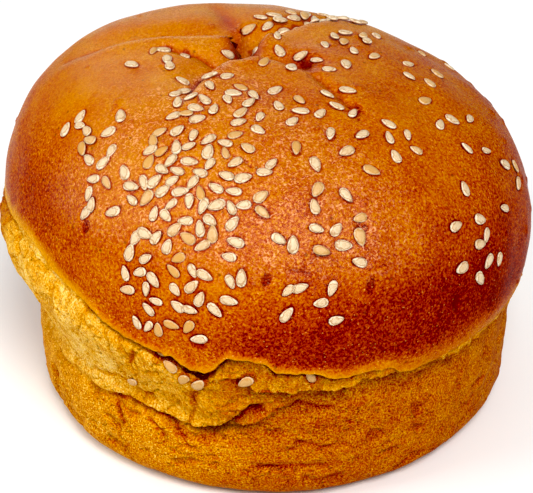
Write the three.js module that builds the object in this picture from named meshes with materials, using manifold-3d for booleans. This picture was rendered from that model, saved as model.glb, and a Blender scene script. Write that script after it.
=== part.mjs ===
// A whole sesame burger bun: one uncut piece of bread that stands on its flat sole.
// Millimetres, +Z up. The middle of the sole is the origin. -Y is the front, and the side
// that tore open furthest in the oven, with the tall pale band of crumb, faces -X.
import * as THREE from 'three';
import { ParametricGeometry } from 'three/addons/geometries/ParametricGeometry.js';
import { mergeVertices } from 'three/addons/utils/BufferGeometryUtils.js';
import Module from 'manifold-3d';

const wasm = await Module();
wasm.setup();
const { degToRad, euclideanModulo, smoothstep, clamp } = THREE.MathUtils;

// Lower half: a flat sole, a rounded bottom edge and a nearly upright wall
const SOLE_RADIUS = 44;
const SOLE_OFFSET_X = 2.2;
const EDGE_RADIUS = 6.2;
const WALL_RADIUS = 43.3;
const WALL_SWELL = 0.6;
const WALL_HEIGHT = 25;

// Crown: a squat dome, widest at the rim and a little off centre at the top
const RIM_RADIUS = 47.8;
const RIM_HEIGHT = 32.8;
const RIM_LEAN = { x: 0.4, y: -0.5 };
const RIM_OVAL = { amount: 2, direction: -37 };
const RIM_TRIANGLE = { amount: 1, direction: 19 };
const TOP_HEIGHT = 67.4;
const TOP_OFFSET = { x: -8, y: -4.4 };
const DOME_ROUND = { out: 0.72, up: 0.9 };
const TUCK_START = 20;
const TUCK_IN = 0.1;

// Torn side. Each stretch of it is centred on a bearing in degrees (0 = +X, -90 = front),
// keeps its full size for `half` degrees each way and fades out over `soft` more.
const WALL_DIP = { depth: 9.2, centre: -134, half: 27, soft: 30 };
const LIP_HEIGHT = 27;
const TEAR = { rise: 12, bulge: 6.6, centre: -158, half: 0, soft: 85 };
const LEDGE = { height: 4.4, centre: -87, half: 7, soft: 21 };
const SKIN = { height: 1, inset: 0.15, ledgeInset: 0.75 };
const KNOT = { size: 2.2, centre: -97, spread: 9, height: 21, tall: 4.5 };

// Folds that meet in a small pit on top: three plan points, then how deep it is, how wide on its
// low and on its rolled side, how high the roll stands, and which side of the way is rolled.
const HOLLOWS = [
  { x: -3.2, y: 2, depth: 1.6, radius: 2.6 },
  { x: 7, y: -3.2, depth: 1, radius: 2.6 },
];
const FOLDS = [
  { way: [[-3, 6.5], [-12, 8.5], [-37, 7]], depth: 2.2, low: 4.5, high: 1.6, roll: 0.7, side: 1 },
  { way: [[-3, 7], [-2.4, 2], [-4.2, -4]], depth: 2.6, low: 2.6, high: 1.4, roll: 0.5, side: -1 },
  { way: [[-4.5, -3.6], [-9.5, -3], [-13.3, -17.6]], depth: 2, low: 3.5, high: 1.5, roll: 0.6, side: 1 },
  { way: [[-8.3, -3.2], [-12, -1], [-19, 2]], depth: 0.9, low: 1.6, high: 0.9, roll: 0.15, side: -1 },
  { way: [[-2.5, 5.5], [3.5, 9], [15, 22]], depth: 1.4, low: 2.4, high: 1.6, roll: 0.4, side: -1 },
  { way: [[-4, -3], [4, -1.5], [9.5, -8]], depth: 1.3, low: 3, high: 1.4, roll: 0.3, side: -1 },
  { way: [[9.5, -9], [13, -14], [15.5, -18]], depth: 0.7, low: 1.2, high: 1, roll: 0, side: 1 },
  { way: [[-4, 8.5], [-6, 14], [-9.5, 24]], depth: 0.8, low: 3, high: 3, roll: 0, side: 1 },
];
const FOLD_STEPS = 24;
const FOLD_FADE = 0.55;

// Sesame seeds, half sunk in the crust. They lie in drifts: the place of a drift is given on the
// crown laid out flat, a disc as large as the way from the crown's middle to its edge.
const SEED = { length: 2.85, width: 1.75, taper: 0.32, sides: 7, stand: 0.6, root: 0.2 };
const SEED_SIZES = { least: 0.88, range: 0.24 };
const SEED_SPACING = 2.1;
const SEED_TRIES = 40;
const SEED_DRAW = 2828;
const CROWN_REACH = 60;
const DRIFT_CROWDING = 0.6;
const DRIFT_LIMIT = 0.96;
const PROBE = { step: 0.005, reach: 2.5 };
const DRIFTS = [
  { x: -3, y: -10, long: 7, wide: 4, turn: 0, count: 9 },
  { x: -4, y: -20, long: 8, wide: 6, turn: -30, count: 15 },
  { x: -9, y: -31, long: 11, wide: 9, turn: -80, count: 42 },
  { x: -14, y: -47, long: 13, wide: 9.5, turn: 10, count: 35 },
  { x: -27, y: -31, long: 9, wide: 7, turn: -70, count: 12 },
  { x: -25, y: -19, long: 11, wide: 6, turn: -20, count: 8 },
  { x: 8, y: -32, long: 13, wide: 10, turn: -75, count: 18 },
  { x: 7, y: -48, long: 9, wide: 6, turn: 0, count: 6 },
  { x: 3, y: -14, long: 8, wide: 6, turn: 0, count: 12 },
  { x: 16, y: -16, long: 9, wide: 6, turn: -60, count: 13 },
  { x: 30, y: -7, long: 13, wide: 6, turn: -10, count: 11 },
  { x: 34, y: -24, long: 11, wide: 7, turn: -70, count: 10 },
  { x: 7, y: 14, long: 9, wide: 3.5, turn: 52, count: 22 },
  { x: 9, y: 2, long: 9, wide: 6, turn: 10, count: 14 },
  { x: 24, y: 7, long: 10, wide: 6, turn: 20, count: 7 },
  { x: -13, y: -1, long: 9, wide: 4, turn: 15, count: 6 },
  { x: 4, y: 34, long: 18, wide: 11, turn: 0, count: 10 },
];
// A few more were caught under the torn lip: stretch, bearing, and the share of the way up it
const CAUGHT = [
  ['ledge', -111, 0.6], ['band', -108.5, 0.93], ['band', -106, 0.78], ['band', -103, 0.76],
  ['band', -122, 0.36], ['ledge', -93, 0.3], ['ledge', -80, 0.6],
];

// How many strips of faces each stretch of the outline has, and the crown's faces round
const STEPS = { sole: 1, edge: 3, wall: 4, band: 5, ledge: 1, skin: 1, crown: 16 };
const SLICES = 60;

/** 1 near a bearing, falling smoothly to 0 away from it */
function stretch(phi, { centre, half, soft }) {
  const away = Math.abs(euclideanModulo(phi - degToRad(centre) + Math.PI, 2 * Math.PI) - Math.PI);
  return smoothstep(degToRad(half + soft) - away, 0, degToRad(soft));
}

const wallTop = (phi) => WALL_HEIGHT - WALL_DIP.depth * stretch(phi, WALL_DIP);
const lipHeight = (phi) => LIP_HEIGHT + TEAR.rise * stretch(phi, TEAR);
const crustHeight = (phi) => lipHeight(phi) + SKIN.height + LEDGE.height * stretch(phi, LEDGE);
const skinInset = (phi) => SKIN.inset + SKIN.ledgeInset * stretch(phi, LEDGE);

/** A point at a radius and height on a bearing, round the middle of the sole */
function around(phi, radius, z) {
  return new THREE.Vector3(radius * Math.cos(phi) + SOLE_OFFSET_X, radius * Math.sin(phi), z);
}

function outward(phi, amount) {
  return new THREE.Vector3(amount * Math.cos(phi), amount * Math.sin(phi), 0);
}

function rimRadius(phi) {
  return RIM_RADIUS + RIM_LEAN.x * Math.cos(phi) + RIM_LEAN.y * Math.sin(phi)
    + RIM_OVAL.amount * Math.cos(2 * (phi - degToRad(RIM_OVAL.direction)))
    + RIM_TRIANGLE.amount * Math.cos(3 * (phi - degToRad(RIM_TRIANGLE.direction)));
}

/** The smooth dome: slope angle 0 at the rim, a right angle at the top, below 0 under the rim */
function dome(phi, slope) {
  const above = clamp(slope, 0, Math.PI / 2);
  const below = Math.sin(Math.min(slope, 0));
  const out = Math.cos(above) ** DOME_ROUND.out;
  const radius = rimRadius(phi) * out * (1 - TUCK_IN * below ** 2);
  return new THREE.Vector3(
    radius * Math.cos(phi) + TOP_OFFSET.x * (1 - out),
    radius * Math.sin(phi) + TOP_OFFSET.y * (1 - out),
    RIM_HEIGHT + (TOP_HEIGHT - RIM_HEIGHT) * Math.sin(above) ** DOME_ROUND.up
      + (RIM_HEIGHT - TUCK_START) * below,
  );
}

/** The slope angle at which the dome reaches a height */
function slopeAt(z) {
  if (z <= RIM_HEIGHT) return Math.asin((z - RIM_HEIGHT) / (RIM_HEIGHT - TUCK_START));
  return Math.asin(((z - RIM_HEIGHT) / (TOP_HEIGHT - RIM_HEIGHT)) ** (1 / DOME_ROUND.up));
}

/** How far along a fold the nearest point lies, and how far to its rolled side */
function besideFold({ way, side }, x, y) {
  const curve = new THREE.QuadraticBezierCurve(...way.map(([a, b]) => new THREE.Vector2(a, b)));
  const points = curve.getPoints(FOLD_STEPS);
  let nearest = { away: Infinity };
  for (let i = 0; i < FOLD_STEPS; i += 1) {
    const step = points[i + 1].clone().sub(points[i]);
    const from = new THREE.Vector2(x, y).sub(points[i]);
    const share = clamp(from.dot(step) / step.lengthSq(), 0, 1);
    const gap = from.clone().addScaledVector(step, -share);
    if (gap.length() < nearest.away) {
      nearest = {
        away: gap.length(),
        aside: gap.length() * side * Math.sign(step.cross(gap)),
        along: (i + share) / FOLD_STEPS,
      };
    }
  }
  return nearest;
}

/** How far the hollows and folds push the crown up or down at a plan point */
function foldRelief(x, y) {
  let relief = 0;
  for (const hollow of HOLLOWS) {
    const away = Math.hypot(x - hollow.x, y - hollow.y) / hollow.radius;
    relief -= hollow.depth * Math.exp(-(away ** 2));
  }
  for (const fold of FOLDS) {
    const { aside, along } = besideFold(fold, x, y);
    const fade = 1 - clamp((along - FOLD_FADE) / (1 - FOLD_FADE), 0, 1) ** 2;
    const width = aside > 0 ? fold.high : fold.low;
    relief -= fold.depth * fade * Math.exp(-((aside / width) ** 2));
    relief += fold.roll * fade * Math.exp(-(((aside - 2.2 * fold.high) / (1.6 * fold.high)) ** 2));
  }
  return relief;
}

/** The stretches of the outline, from the middle of the sole to the middle of the crown.
 *  Each gives the point at a bearing and a share t of its own way. */
const STRETCHES = {
  sole: (phi, t) => around(phi, t * (SOLE_RADIUS - EDGE_RADIUS), 0),

  edge(phi, t) {
    const turn = t * Math.PI / 2;
    const radius = SOLE_RADIUS - EDGE_RADIUS + EDGE_RADIUS * Math.sin(turn);
    return around(phi, radius, EDGE_RADIUS * (1 - Math.cos(turn)));
  },

  wall(phi, t) {
    const radius = SOLE_RADIUS + (WALL_RADIUS - SOLE_RADIUS) * t + WALL_SWELL * Math.sin(Math.PI * t);
    return around(phi, radius, EDGE_RADIUS + (wallTop(phi) - EDGE_RADIUS) * t);
  },

  band(phi, t) {
    const bottom = around(phi, WALL_RADIUS, wallTop(phi));
    const top = STRETCHES.ledge(phi, 0);
    const torn = stretch(phi, TEAR);
    const tall = top.z - bottom.z;
    const low = bottom.clone().add(outward(phi, -0.8 * (1 - torn) - 0.4 * TEAR.bulge * torn));
    const high = top.clone().add(outward(phi, -1.2 * (1 - torn) + TEAR.bulge * torn));
    low.z += 1.5 * (1 - torn) + 0.32 * tall * torn;
    high.z += 1.5 * (1 - torn) - 0.25 * tall * torn;
    const point = new THREE.CubicBezierCurve3(bottom, low, high, top).getPoint(t);
    const aside = stretch(phi, { centre: KNOT.centre, half: 0, soft: 2.2 * KNOT.spread });
    const knot = KNOT.size * aside * Math.exp(-(((point.z - KNOT.height) / KNOT.tall) ** 2));
    return point.add(outward(phi, knot));
  },

  ledge(phi, t) {
    const from = slopeAt(lipHeight(phi));
    const to = slopeAt(crustHeight(phi));
    return dome(phi, from + (to - from) * t).add(outward(phi, -skinInset(phi)));
  },

  skin: (phi, t) => dome(phi, slopeAt(crustHeight(phi))).add(outward(phi, -skinInset(phi) * (1 - t))),

  crown(phi, t) {
    const edge = slopeAt(crustHeight(phi));
    const rise = 1 - (1 - t) ** (1 / DOME_ROUND.out);
    const point = dome(phi, edge + (Math.PI / 2 - edge) * rise);
    point.z += foldRelief(point.x, point.y);
    return point;
  },
};

const STRIPS = Object.values(STEPS).reduce((sum, steps) => sum + steps, 0);

function breadGeometry() {
  const point = (u, v, target) => {
    let row = v * STRIPS;
    for (const [name, steps] of Object.entries(STEPS)) {
      if (row <= steps || name === 'crown') {
        target.copy(STRETCHES[name](2 * Math.PI * u, Math.min(row / steps, 1)));
        return;
      }
      row -= steps;
    }
  };
  return new ParametricGeometry(point, SLICES, STRIPS);
}

/** A seed as a low drop-shaped peak: it has its true size at the crust and roots a little in it */
function seedGeometry() {
  const seed = new THREE.SphereGeometry(1, SEED.sides, 2).rotateX(Math.PI / 2);
  const place = seed.getAttribute('position');
  for (let i = 0; i < place.count; i += 1) {
    place.setY(i, place.getY(i) * (1 - SEED.taper * place.getX(i)));
  }
  const tall = SEED.stand + SEED.root;
  const spread = tall / SEED.stand;
  seed.scale(spread * SEED.length / 2, spread * SEED.width / 2, tall);
  return seed.translate(0, 0, -SEED.root);
}

/** A row of numbers from 0 to 1 that is the same each time */
function makeDraw(start) {
  let state = start;
  return () => {
    state = (state * 16807) % 2147483647;
    return state / 2147483647;
  };
}

/** The matrix that lays a seed on the face of the bread at a place, turned about its normal */
function seatOn(bread, name, phi, t, turn, size) {
  const point = STRETCHES[name](phi, t);
  const round = STRETCHES[name](phi + PROBE.step, t).sub(point).normalize();
  const upward = STRETCHES[name](phi, t + PROBE.step).sub(point);
  const outside = round.clone().cross(upward).normalize();
  const start = point.addScaledVector(outside, PROBE.reach);
  const [hit] = new THREE.Raycaster(start, outside.negate()).intersectObject(bread);
  const { normal } = hit.face;
  const length = round.projectOnPlane(normal).normalize().applyAxisAngle(normal, turn);
  const seat = new THREE.Matrix4().makeBasis(length, normal.clone().cross(length), normal);
  return seat.scale(new THREE.Vector3(size, size, size)).setPosition(hit.point);
}

/** Seats for every seed: the drifts one by one, then the ones caught under the lip */
function seedSeats(bread) {
  const draw = makeDraw(SEED_DRAW);
  const seats = [];
  const taken = [];
  const drawTurn = () => 2 * Math.PI * draw();
  const drawSize = () => SEED_SIZES.least + SEED_SIZES.range * draw();
  for (const drift of DRIFTS) {
    let left = drift.count;
    for (let tries = 0; left > 0 && tries < drift.count * SEED_TRIES; tries += 1) {
      const out = draw() ** DRIFT_CROWDING;
      const bearing = drawTurn();
      const spot = new THREE.Vector2(
        drift.long * out * Math.cos(bearing),
        drift.wide * out * Math.sin(bearing),
      ).rotateAround(new THREE.Vector2(), degToRad(drift.turn)).add(drift);
      const share = spot.length() / CROWN_REACH;
      const free = taken.every((other) => other.distanceTo(spot) > SEED_SPACING);
      if (free && share < DRIFT_LIMIT) {
        const bearingOnCrown = Math.atan2(spot.y, spot.x);
        taken.push(spot);
        seats.push(seatOn(bread, 'crown', bearingOnCrown, 1 - share, drawTurn(), drawSize()));
        left -= 1;
      }
    }
  }
  for (const [name, bearing, share] of CAUGHT) {
    seats.push(seatOn(bread, name, degToRad(bearing), share, drawTurn(), drawSize()));
  }
  return seats;
}

/** A closed solid from a geometry, without the faces that shrink to nothing at the poles */
function toSolid(geometry) {
  const bare = geometry.clone();
  bare.deleteAttribute('normal');
  bare.deleteAttribute('uv');
  const { index, attributes } = mergeVertices(bare, 1e-4);
  const triVerts = [];
  for (let i = 0; i < index.count; i += 3) {
    const face = [index.getX(i), index.getX(i + 1), index.getX(i + 2)];
    if (new Set(face).size === 3) triVerts.push(...face);
  }
  return new wasm.Manifold(new wasm.Mesh({
    numProp: 3,
    vertProperties: Float32Array.from(attributes.position.array),
    triVerts: Uint32Array.from(triVerts),
  }));
}

function toGeometry(solid) {
  const { vertProperties, triVerts } = solid.getMesh();
  const geometry = new THREE.BufferGeometry();
  geometry.setAttribute('position', new THREE.BufferAttribute(vertProperties, 3));
  geometry.setIndex(new THREE.BufferAttribute(triVerts, 1));
  return geometry;
}

/** The bread with its seeds joined on, centred over the origin */
function bunGeometry() {
  const bread = new THREE.Mesh(breadGeometry());
  const oneSeed = seedGeometry();
  const seeds = seedSeats(bread).map((seat) => toSolid(oneSeed.clone().applyMatrix4(seat)));
  const fused = seeds.reduce((solid, seed) => solid.add(seed), toSolid(bread.geometry));
  const geometry = toGeometry(fused);
  geometry.computeBoundingBox();
  const middle = geometry.boundingBox.getCenter(new THREE.Vector3());
  geometry.translate(-middle.x, -middle.y, 0);
  geometry.computeVertexNormals();
  return geometry;
}

const crust = new THREE.MeshStandardMaterial({ color: 0xc8761f, roughness: 0.4, metalness: 0 });
const bun = new THREE.Mesh(bunGeometry(), crust);
bun.name = 'bun';

const group = new THREE.Group();
group.name = 'sesame_burger_bun';
group.add(bun);

export default group;
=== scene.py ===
# A whole sesame burger bun, from its sole and torn side to the crown and the seeds on it.
import itertools
import math

import bpy
import numpy as np
from mathutils import Matrix, Vector, bvhtree


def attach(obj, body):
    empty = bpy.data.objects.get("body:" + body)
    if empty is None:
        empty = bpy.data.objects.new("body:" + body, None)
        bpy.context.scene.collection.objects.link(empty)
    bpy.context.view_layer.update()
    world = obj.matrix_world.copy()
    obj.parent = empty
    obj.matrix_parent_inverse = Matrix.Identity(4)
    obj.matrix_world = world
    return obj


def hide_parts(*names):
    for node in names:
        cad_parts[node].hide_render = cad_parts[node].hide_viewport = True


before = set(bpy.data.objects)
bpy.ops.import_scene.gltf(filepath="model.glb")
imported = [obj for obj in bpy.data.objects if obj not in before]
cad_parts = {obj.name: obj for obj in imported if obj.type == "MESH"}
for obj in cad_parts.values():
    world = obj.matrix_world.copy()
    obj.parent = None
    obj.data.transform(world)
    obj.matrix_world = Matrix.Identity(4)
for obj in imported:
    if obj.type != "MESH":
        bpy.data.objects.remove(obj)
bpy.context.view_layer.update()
scene = bpy.context.scene
MM = 0.001

# Camera: a long lens that looks down on the front of the bun, which fills the frame.
CAMERA_HEIGHT_ANGLE = 33.0
CAMERA_DISTANCE = 357 * MM
CAMERA_LENS = 128.6
CAMERA_SENSOR = 36.0
aim = Vector((0.5, 1.2, 25.7)) * MM
tilt = math.radians(CAMERA_HEIGHT_ANGLE)
camera = bpy.data.objects.new("camera", bpy.data.cameras.new("camera"))
camera.data.sensor_width = CAMERA_SENSOR
camera.data.lens = CAMERA_LENS
camera.data.clip_start = 0.01
camera.location = aim + CAMERA_DISTANCE * Vector((0, -math.cos(tilt), math.sin(tilt)))
camera.rotation_euler = (math.pi / 2 - tilt, 0, 0)
scene.collection.objects.link(camera)
scene.camera = camera

# Studio: a pale matt floor, a wide soft box in front and a smaller one on the left, which gloss the
# crown, a low one behind that grazes the far edge, and even light all round.
FLOOR_SIZE = 4.0
WORLD_STRENGTH = 0.46
GAMMA = 0.88
BLACK_LEVEL = 0.012
grade = scene.view_settings
grade.view_transform = "Standard"
grade.gamma = GAMMA
grade.use_curve_mapping = True
grade.curve_mapping.black_level = (BLACK_LEVEL,) * 3
grade.curve_mapping.update()


def linear(code):
    """An sRGB hex colour as the linear RGBA that shaders take"""
    parts = [int(code[i:i + 2], 16) / 255 for i in (1, 3, 5)]
    curved = [c / 12.92 if c <= 0.04045 else ((c + 0.055) / 1.055) ** 2.4 for c in parts]
    return (*curved, 1.0)


def plug(tree, node, inputs):
    """Gives a node's inputs their values or links. A node among them is linked by its first
    output that is in use."""
    for name, value in inputs.items():
        if isinstance(value, bpy.types.Node):
            value = next(output for output in value.outputs if output.enabled)
        if isinstance(value, bpy.types.NodeSocket):
            tree.links.new(value, node.inputs[name])
        else:
            node.inputs[name].default_value = value


def start_material(name, settings):
    """A new material, its node tree and its shader, whose sockets have those values"""
    made = bpy.data.materials.new(name)
    made.use_nodes = True
    shader = made.node_tree.nodes["Principled BSDF"]
    plug(made.node_tree, shader, settings)
    return made, made.node_tree, shader


def soft_box(name, bearing, rise, distance, width, height, power):
    """An area light in that direction from the bun, turned to face it"""
    light = bpy.data.lights.new(name, "AREA")
    light.shape = "RECTANGLE"
    light.size = width
    light.size_y = height
    light.energy = power
    light.color = linear("#FFFBF6")[:3]
    box = bpy.data.objects.new(name, light)
    level = math.cos(math.radians(rise))
    toward = Vector((level * math.cos(math.radians(bearing)),
                     level * math.sin(math.radians(bearing)), math.sin(math.radians(rise))))
    box.location = aim + toward * distance
    box.rotation_euler = toward.to_track_quat("Z", "Y").to_euler()
    scene.collection.objects.link(box)


soft_box("left_box", bearing=-160, rise=34, distance=0.8, width=0.3, height=0.3, power=2.5)
soft_box("front_box", bearing=-76, rise=50, distance=1.1, width=0.42, height=0.42, power=11.0)
soft_box("back_box", bearing=112, rise=12, distance=0.9, width=1.0, height=0.2, power=1.7)

world = bpy.data.worlds.new("studio")
world.use_nodes = True
plug(world.node_tree, world.node_tree.nodes["Background"],
     {"Color": (1.0, 1.0, 1.0, 1.0), "Strength": WORLD_STRENGTH})
scene.world = world

half = FLOOR_SIZE / 2
floor_mesh = bpy.data.meshes.new("floor")
floor_mesh.from_pydata(
    [(-half, -half, 0), (half, -half, 0), (half, half, 0), (-half, half, 0)], [], [(0, 1, 2, 3)])
floor = bpy.data.objects.new("floor", floor_mesh)
scene.collection.objects.link(floor)
# White painted board, quite matt, which shows only a soft shadow
board, *_ = start_material("white_painted_board", {
    "Base Color": linear("#F0F3F6"), "Roughness": 0.9, "Specular IOR Level": 0.1})
floor_mesh.materials.append(board)

# Sole and side: the lower half of one enriched yeast roll, which set against the tin as a straight
# golden wall. The dough above it swelled on and tore it open, so between the wall and the crust a
# band of stretched crumb shows, tall and pale on the left and a narrow two-step lip in front.
# Sizes are in millimetres and bearings in degrees, 0 to the right and -90 to the front.
SOLE_RADIUS = 44.0
SOLE_OFFSET_X = 2.2
EDGE_RADIUS = 6.2
WALL_RADIUS = 43.3
WALL_SWELL = 0.6
WALL_HEIGHT = 25.0
RIM_RADIUS = 47.8
RIM_HEIGHT = 32.8
RIM_LEAN = (0.4, -0.5)
RIM_OVAL = (2.0, -37.0)
RIM_TRIANGLE = (1.0, 19.0)
TOP_HEIGHT = 67.4
TOP_OFFSET = (-8.0, -4.4)
DOME_OUT = 0.72
DOME_UP = 0.9
TUCK_START = 20.0
TUCK_IN = 0.1

# Each stretch of the torn side has a middle bearing, a half width at full size and a fade
DIP_DEPTH = 9.2
DIP_STRETCH = (-134.0, 27.0, 30.0)
LIP_HEIGHT = 27.0
TEAR_RISE = 12.0
TEAR_BULGE = 6.6
TEAR_STRETCH = (-158.0, 0.0, 85.0)
LEDGE_HEIGHT = 4.4
LEDGE_STRETCH = (-87.0, 7.0, 21.0)
SKIN_HEIGHT = 1.0
SKIN_INSET = 0.15
LEDGE_INSET = 0.75
KNOT_SIZE = 2.2
KNOT_STRETCH = (-97.0, 0.0, 19.8)
KNOT_HEIGHT = 21.0
KNOT_TALL = 4.5
FLAP_STRETCH = (-94.0, 30.0, 12.0)
TORN_STRETCH = (-142.0, 30.0, 32.0)
FLAKE_STRETCH = (-84.0, 14.0, 12.0)
GROOVE_STRETCH = (-72.0, 17.0, 10.0)
ROLL_STRETCH = (-97.0, 6.0, 14.0)
DENT_DEPTH = 0.7
CHIP_DEPTH = 0.4
FLAKE_DEPTH = 0.55
LIP_GROOVE_DEPTH = 1.5
CRUST_GROOVE_DEPTH = 1.6
INNER_DEPTH = 2.4
INNER_RISE = 2.6

# How far each part is baked, from 0 for pale crumb to 1 for the darkest mahogany, the painted shade
# of the crumb hidden under the crust and in the creases, and the stretches where the wall, the torn
# band and the lip are browner or paler than the rest
WALL_BAKE = 0.44
BAND_BAKE = 0.32
LEDGE_BAKE = 0.31
TUCK_SHADE = 0.95
CREASE_SHADE = 0.62
SOLE_BAKE = 0.6
BROWN_WALL_STRETCH = (-50.0, 40.0, 50.0)
PALE_WALL_STRETCH = (-138.0, 28.0, 24.0)
PALE_BAND_STRETCH = (-147.0, 11.0, 18.0)
GOLD_BAND_STRETCH = (-122.0, 12.0, 14.0)
BROWN_BAND_STRETCH = (180.0, 2.0, 22.0)
BROWN_LIP_STRETCH = (-80.0, 16.0, 8.0)

# How far the edge of the torn lip, and of the crust above it, stray up or down from a smooth
# line: a bearing and an amount, which changes evenly to the next
LIP_STRAYS = ((-112, 0), (-102, -0.9), (-97, 0.6), (-94, 1.4), (-91.5, -0.9), (-87, -0.6),
              (-80, 0), (-75, -0.6), (-72, 0.6), (-69, 1.2), (-61, 1.1), (-54, 0.3), (-46, -0.6),
              (-36, 0))
CRUST_STRAYS = ((-176, 0), (-167, -0.5), (-151, 1.1), (-143, 0), (-127, 0.4), (-121, -0.2),
                (-113, 0.3), (-108, -0.1), (-104, -2.4), (-101, -2.9), (-99.2, -2.3),
                (-98.2, -0.9), (-97, 0.5), (-90, 1.1), (-88.5, 0.5), (-87, -0.6), (-80, -0.3),
                (-77, -1.0), (-74, -0.8), (-71, 0.3), (-66.5, 1.5), (-64, 2.0), (-61.5, 0.7),
                (-58, 0))

# Creases in the stretched side: points on their way, as bearing and height, their depth and width
CREASES = (
    (((-110, 16), (-107, 15.1), (-102, 16.5), (-97, 20.4), (-94, 22.3), (-90, 22.7)), 1.8, 0.8),
    (((-105, 26.8), (-106, 22.8), (-108, 18.5), (-110, 16)), 0.6, 0.5),
    (((-133, 15.6), (-126, 16.7), (-118, 16), (-111, 15.6)), 0.9, 0.6),
    (((-114, 15.8), (-112, 13.5), (-109, 10.4)), 0.5, 0.7),
    (((-121, 14.6), (-118, 13.2), (-115, 12)), 0.6, 0.5),
    (((-130, 15.6), (-128, 13), (-126, 11.4)), 0.6, 0.5),
    (((-117, 32.5), (-119, 29.5), (-121, 26.5)), 0.5, 0.5),
    (((-100, 32), (-98, 32.8), (-96, 34.6)), 1.0, 0.5),
    (((-91, 22.7), (-87, 21.6), (-84, 22.2), (-80, 21.1), (-75, 20.8)), 0.5, 0.5),
    (((-143, 20), (-128, 20.5), (-116, 19)), 0.5, 1.0),
    (((-87, 15), (-80, 12.8), (-72, 13)), 0.4, 0.7),
    (((-96, 8.5), (-86, 9.2), (-76, 8.2)), 0.4, 0.8),
)

# Rows of faces in each stretch of the outline, and faces round it, which are closer in front
SIDE_ROWS = {"sole": 3, "edge": 10, "wall": 46, "band": 56, "ledge": 22, "tuck": 2}
COLUMNS = 700
CLOSER_IN_FRONT = 0.4
ROW_CROWDING = {"crown": 1.25}


def smooth(share):
    share = np.clip(share, 0, 1)
    return share * share * (3 - 2 * share)


def hump(away, spread):
    """A rounded hump: 1 where away is 0"""
    return np.exp(-(away / spread) ** 2)


def stretch(phi, middle, half_width, fade):
    """1 in a stretch of bearings, fading to 0 beyond it"""
    away = np.abs((phi - np.radians(middle) + np.pi) % (2 * np.pi) - np.pi)
    return smooth((np.radians(half_width + fade) - away) / np.radians(fade))


def stray(phi, strays):
    """The amount at a bearing, on straight lines between the listed ones"""
    return np.interp((np.degrees(phi) + 180) % 360 - 180, *np.array(strays, float).T)


def outward(phi, amount):
    return np.stack([amount * np.cos(phi), amount * np.sin(phi), 0 * phi], -1)


def around(phi, radius, height):
    point = outward(phi, radius)
    point[..., 0] += SOLE_OFFSET_X
    point[..., 2] += height
    return point


# Large odd numbers that stir the place of a cell and a seed into a draw that looks random
CELL_STIR = np.array([73856093, 19349663, 83492791])
SEED_STIR = 7919
DRAW_STIRS = ((15, 2246822519), (13, 3266489917))
DRAW_MASK = 0xFFFFFFFF


def cloud(points, size, seed, layers=1):
    """Seeded soft noise with lumps of that size in mm, mostly between -1 and 1"""
    total = np.zeros(points.shape[:-1])
    for layer in range(layers):
        place = points * 2 ** layer / size + 137.0
        cell = np.floor(place).astype(np.int64)
        inside = place - cell
        ease = inside ** 3 * (inside * (6 * inside - 15) + 10)
        for corner in itertools.product((0, 1), repeat=3):
            key = ((cell + corner) @ CELL_STIR + seed * SEED_STIR + layer) & DRAW_MASK
            for bits, stir in DRAW_STIRS:
                key = ((key ^ (key >> bits)) * stir) & DRAW_MASK
            key = key ^ (key >> 16)
            slope = np.stack([key & 1023, (key >> 10) & 1023, (key >> 20) & 1023], -1) / 511.5 - 1
            share = np.where(corner, ease, 1 - ease).prod(axis=-1)
            total += 1.6 * share * (slope * (inside - corner)).sum(axis=-1) / 2 ** layer
    return total


def ring_cloud(phi, size, seed):
    """The same noise along an edge, as a function of its bearing alone"""
    return cloud(outward(phi, RIM_RADIUS + 0 * phi), size, seed, 2)


def wall_top(phi):
    return WALL_HEIGHT - DIP_DEPTH * stretch(phi, *DIP_STRETCH)


def lip_height(phi):
    return LIP_HEIGHT + TEAR_RISE * stretch(phi, *TEAR_STRETCH)


def crust_height(phi):
    return lip_height(phi) + SKIN_HEIGHT + LEDGE_HEIGHT * stretch(phi, *LEDGE_STRETCH)


def skin_inset(phi):
    return SKIN_INSET + LEDGE_INSET * stretch(phi, *LEDGE_STRETCH)


def rim_radius(phi):
    return (RIM_RADIUS + RIM_LEAN[0] * np.cos(phi) + RIM_LEAN[1] * np.sin(phi)
            + RIM_OVAL[0] * np.cos(2 * (phi - np.radians(RIM_OVAL[1])))
            + RIM_TRIANGLE[0] * np.cos(3 * (phi - np.radians(RIM_TRIANGLE[1]))))


def dome(phi, slope):
    """The smooth crown: slope 0 at the rim, a right angle at the top, below 0 under the rim"""
    above = np.clip(slope, 0, np.pi / 2)
    below = np.sin(np.minimum(slope, 0))
    out = np.cos(above) ** DOME_OUT
    point = outward(phi, rim_radius(phi) * out * (1 - TUCK_IN * below ** 2))
    point[..., 0] += TOP_OFFSET[0] * (1 - out)
    point[..., 1] += TOP_OFFSET[1] * (1 - out)
    point[..., 2] = (RIM_HEIGHT + (TOP_HEIGHT - RIM_HEIGHT) * np.sin(above) ** DOME_UP
                     + (RIM_HEIGHT - TUCK_START) * below)
    return point


def slope_at(height):
    share = np.clip((height - RIM_HEIGHT) / (TOP_HEIGHT - RIM_HEIGHT), 0, 1)
    under = np.clip((height - RIM_HEIGHT) / (RIM_HEIGHT - TUCK_START), -1, 0)
    return np.where(height > RIM_HEIGHT, np.arcsin(share ** (1 / DOME_UP)), np.arcsin(under))


def sole(phi, t):
    return around(phi, t * (SOLE_RADIUS - EDGE_RADIUS), 0)


def edge(phi, t):
    turn = t * np.pi / 2
    radius = SOLE_RADIUS - EDGE_RADIUS + EDGE_RADIUS * np.sin(turn)
    return around(phi, radius, EDGE_RADIUS * (1 - np.cos(turn)))


def wall(phi, t):
    radius = SOLE_RADIUS + (WALL_RADIUS - SOLE_RADIUS) * t + WALL_SWELL * np.sin(np.pi * t)
    return around(phi, radius, EDGE_RADIUS + (wall_top(phi) - EDGE_RADIUS) * t)


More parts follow.
